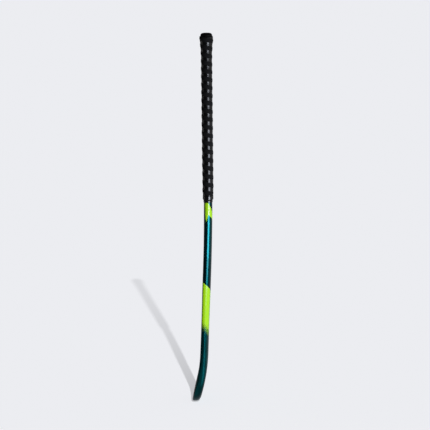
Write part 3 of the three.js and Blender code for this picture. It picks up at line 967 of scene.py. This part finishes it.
def sleeve(name, profile):
    """Skins a closed profile of (distance from the butt, stand-off) round the moulding."""
    rings, pattern = [], []
    for distance, stand_off in profile:
        ring = inset(outline(distance, BAND_STEPS), -stand_off)
        around = round_the_section(ring, BAND_STEPS["face"]) + PATTERN_SHIFT
        rings.append(place(distance, ring))
        pattern.append(np.column_stack([around, np.full(len(around), distance)]))
    return weld(skin(name, rings, pattern, loop=True))


def band_profile():
    """Outside from top to bottom, a rolled lower edge, then back up the inside."""
    def stand_off(distance):
        t = min(max((distance - BAND_STEP) / STEP_RUN, 0), 1)
        return OVER_TAPE + (OVER_PAINT - OVER_TAPE) * t * t * (3 - 2 * t)

    down = np.linspace(BAND_TOP + TOP_ROLL, BAND_END - END_ROLL, 22)
    outside = [(d, stand_off(d) + BAND_WALL) for d in down]
    inside = [(d, stand_off(d)) for d in down[::-1]]
    lower = [(BAND_END - LIP, OVER_PAINT + 0.7 * BAND_WALL),
             (BAND_END, OVER_PAINT + 0.3 * BAND_WALL)]
    upper = [(BAND_TOP, OVER_TAPE + 0.3 * BAND_WALL),
             (BAND_TOP + LIP, OVER_TAPE + 0.7 * BAND_WALL)]
    return outside + lower + inside + upper


def vinyl():
    """Gloss black vinyl with the faint stretch lines of a pulled tape."""
    finish, tree, shader = new_material("black_vinyl")
    place = object_place(tree)
    pull = noise(tree, stretched(tree, place, (1, 1, 9)), 12 * MM, detail=3)
    feed(tree, shader.inputs["Base Color"], mix_colour(tree, pull, *VINYL_BLACKS))
    feed(tree, shader.inputs["Roughness"], maths(tree, "MULTIPLY_ADD", pull, 0.1, 0.12))
    feed(tree, shader.inputs["Normal"], bump(tree, pull, 0.05 * MM, 0.35))
    return finish


band = sleeve("vinyl_band", band_profile())
band.data.materials.append(vinyl())

# %% [markdown]
# The end cap is moulded rubber, pushed into the plug by a spigot under it. A cap like this is a
# solid of revolution stretched to an oval, so one profile and an oval sweep make it. The rim has
# a shallow groove round it, just above where the first turn of tape ends.

# %% Rubber cap
CAP_HALF_THICKNESS = (cap_high.x - cap_low.x) / 2
CAP_HALF_WIDTH = (cap_high.y - cap_low.y) / 2
CAP_UNDERSIDE = 0.3 * MM
CAP_EDGE = 5.6 * MM
SPIGOT = {"half_thickness": 5 * MM, "half_width": 7 * MM, "depth": 14 * MM}
RIM = (0.5, 0.0), (0.12, 0.05), (0.0, 0.25), (0.0, 0.6), (0.35, 0.75), (0.35, 1.0), (0.0, 1.15)
OVAL_POINTS = 96
RUBBER_BLACKS = (0.0008, 0.0008, 0.0009, 1), (0.003, 0.0029, 0.003, 1)


def oval_ring(half_thickness, half_width, height):
    a = np.linspace(0, 2 * np.pi, OVAL_POINTS, endpoint=False)
    return np.column_stack([
        AXIS_X + half_thickness * np.cos(a),
        AXIS_Y + half_width * np.sin(a),
        np.full(OVAL_POINTS, height),
    ])


def cap_rings():
    """Spigot, underside, grooved rim, rounded shoulder and flat top."""
    rim_foot = BUTT_Z + CAP_UNDERSIDE
    rings = [oval_ring(SPIGOT["half_thickness"], SPIGOT["half_width"], height)
             for height in (BUTT_Z - SPIGOT["depth"], rim_foot)]

    def add_outer(pulled_in, height):
        rings.append(oval_ring(CAP_HALF_THICKNESS - pulled_in, CAP_HALF_WIDTH - pulled_in, height))

    for pulled_in, up in RIM:
        add_outer(pulled_in * MM, rim_foot + up * MM)
    for a in np.radians(np.linspace(4, 90, 16)):
        add_outer(CAP_EDGE * (1 - math.cos(a)), cap_high.z - CAP_EDGE * (1 - math.sin(a)))
    for share in (0.8, 0.6, 0.4, 0.2, 0.05):
        rings.append(oval_ring((CAP_HALF_THICKNESS - CAP_EDGE) * share,
                               (CAP_HALF_WIDTH - CAP_EDGE) * share, cap_high.z))
    return rings


def rubber():
    """Matt moulded rubber with a fine stipple."""
    finish, tree, shader = new_material("stippled_rubber")
    place = object_place(tree)
    stipple = cells(tree, place, 0.7 * MM)
    wear = noise(tree, place, 6 * MM, detail=3)
    feed(tree, shader.inputs["Base Color"], mix_colour(tree, wear, *RUBBER_BLACKS))
    feed(tree, shader.inputs["Roughness"], maths(tree, "MULTIPLY_ADD", wear, 0.15, 0.5))
    shader.inputs["Specular IOR Level"].default_value = 0.16
    feed(tree, shader.inputs["Normal"], bump(tree, stipple, 0.08 * MM, 0.5))
    return finish


rings = cap_rings()
around = np.linspace(0, 1, OVAL_POINTS + 1)
pattern = [np.column_stack([around, np.full(len(around), k / 30)]) for k in range(len(rings))]
cap = weld(skin("rubber_cap", rings, pattern, cap_start=True, cap_end=True))
cap.data.materials.append(rubber())

# %% [markdown]
# The cores are never seen on a finished stick, but a cut-away shows them, so each keeps its frame
# mesh and gets the look of its real material: braided carbon, foamed cells, cast polyurethane,
# cloth-backed adhesive tape and rubber cord.

# %% Finishes of the hidden parts
def braid():
    """Two sets of carbon tows that cross at 45 degrees, each lying on the other in turn."""
    finish, tree, shader = new_material("carbon_braid")
    place = object_place(tree)
    tows = tree.nodes.new("ShaderNodeTexChecker")
    turned = tree.nodes.new("ShaderNodeMapping")
    turned.inputs["Rotation"].default_value = (math.radians(45), 0, 0)
    feed(tree, turned.inputs["Vector"], place)
    feed(tree, tows.inputs["Vector"], turned.outputs[0])
    tows.inputs["Scale"].default_value = 1 / (2.2 * MM)
    fibre = noise(tree, stretched(tree, turned.outputs[0], (1, 14, 1)), 4 * MM, detail=4)
    dark = mix_colour(tree, fibre, (0.006, 0.006, 0.007, 1), (0.03, 0.031, 0.034, 1))
    light = mix_colour(tree, fibre, (0.022, 0.023, 0.026, 1), (0.075, 0.078, 0.085, 1))
    feed(tree, shader.inputs["Base Color"], mix_colour(tree, tows.outputs["Fac"], dark, light))
    feed(tree, shader.inputs["Roughness"], maths(tree, "MULTIPLY_ADD", fibre, 0.25, 0.25))
    feed(tree, shader.inputs["Normal"], bump(tree, tows.outputs["Fac"], 0.1 * MM, 0.5))
    return finish


def cellular(name, dark, light, cell, depth, roughness):
    """A solid with rounded cells or grains of a given size."""
    finish, tree, shader = new_material(name)
    place = object_place(tree)
    bubbles = cells(tree, place, cell)
    mottle = noise(tree, place, cell * 7, detail=4)
    tone = maths(tree, "MULTIPLY_ADD", bubbles, 0.6, maths(tree, "MULTIPLY", mottle, 0.4))
    feed(tree, shader.inputs["Base Color"], mix_colour(tree, tone, dark, light))
    feed(tree, shader.inputs["Roughness"], maths(tree, "MULTIPLY_ADD", mottle, 0.15, roughness))
    feed(tree, shader.inputs["Normal"], bump(tree, bubbles, depth, 0.7))
    return finish


def cloth_tape():
    """Pale adhesive tape with the fine weave of its cloth showing through."""
    finish, tree, shader = new_material("cloth_tape")
    place = object_place(tree)
    threads = tree.nodes.new("ShaderNodeTexWave")
    feed(tree, threads.inputs["Vector"], place)
    threads.bands_direction = "Z"
    threads.inputs["Scale"].default_value = 1 / (4 * MM)
    threads.inputs["Distortion"].default_value = 1.5
    stain = noise(tree, place, 20 * MM, detail=4)
    base = mix_colour(tree, stain, (0.42, 0.38, 0.30, 1), (0.66, 0.62, 0.53, 1))
    feed(tree, shader.inputs["Base Color"], mix_colour(
        tree, maths(tree, "MULTIPLY", threads.outputs["Fac"], 0.25), base, (0.30, 0.27, 0.21, 1)))
    feed(tree, shader.inputs["Roughness"], maths(tree, "MULTIPLY_ADD", stain, 0.2, 0.5))
    feed(tree, shader.inputs["Normal"], bump(tree, threads.outputs["Fac"], 0.05 * MM, 0.6))
    return finish


# %% Dress the hidden parts
carbon = braid()
foam = cellular("closed_cell_foam", (0.50, 0.42, 0.22, 1), (0.86, 0.80, 0.60, 1),
                cell=0.8 * MM, depth=0.3 * MM, roughness=0.8)
cast = cellular("cast_polyurethane", (0.20, 0.12, 0.03, 1), (0.52, 0.33, 0.10, 1),
                cell=2.5 * MM, depth=0.1 * MM, roughness=0.45)
grey_cast = cellular("grey_polyurethane", (0.07, 0.075, 0.08, 1), (0.19, 0.20, 0.21, 1),
                     cell=1.6 * MM, depth=0.1 * MM, roughness=0.5)
cord = cellular("cord_rubber", (0.008, 0.008, 0.009, 1), (0.03, 0.03, 0.031, 1),
                cell=0.6 * MM, depth=0.1 * MM, roughness=0.7)
for name, finish in (
    ("heel_side_tube", carbon),
    ("toe_side_tube", carbon),
    ("heel_side_foam", foam),
    ("toe_side_foam", foam),
    ("head_core", cast),
    ("butt_plug", grey_cast),
    ("base_tape", cloth_tape()),
    ("ridge_cord", cord),
):
    nodes[name].data.materials.clear()
    nodes[name].data.materials.append(finish)
    print(f"{name}: {finish.name}")

# %% [markdown]
# Last, each rebuilt piece is hung on the root body it rides on, the frame node it stands for is
# hidden, and the material slot it fills is printed.

# %% Hand the visible pieces to the frame
for piece, replaced, slot in (
    (moulding, "stick_shell", "painted_laminate"),
    (grip, "grip_tape", "grip_polyurethane"),
    (band, "finishing_tape", "finishing_vinyl"),
    (cap, "end_cap", "cap_rubber"),
):
    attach(piece, "root")
    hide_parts(replaced)
    print(f"{piece.name}: stands for {replaced} in slot {slot}")
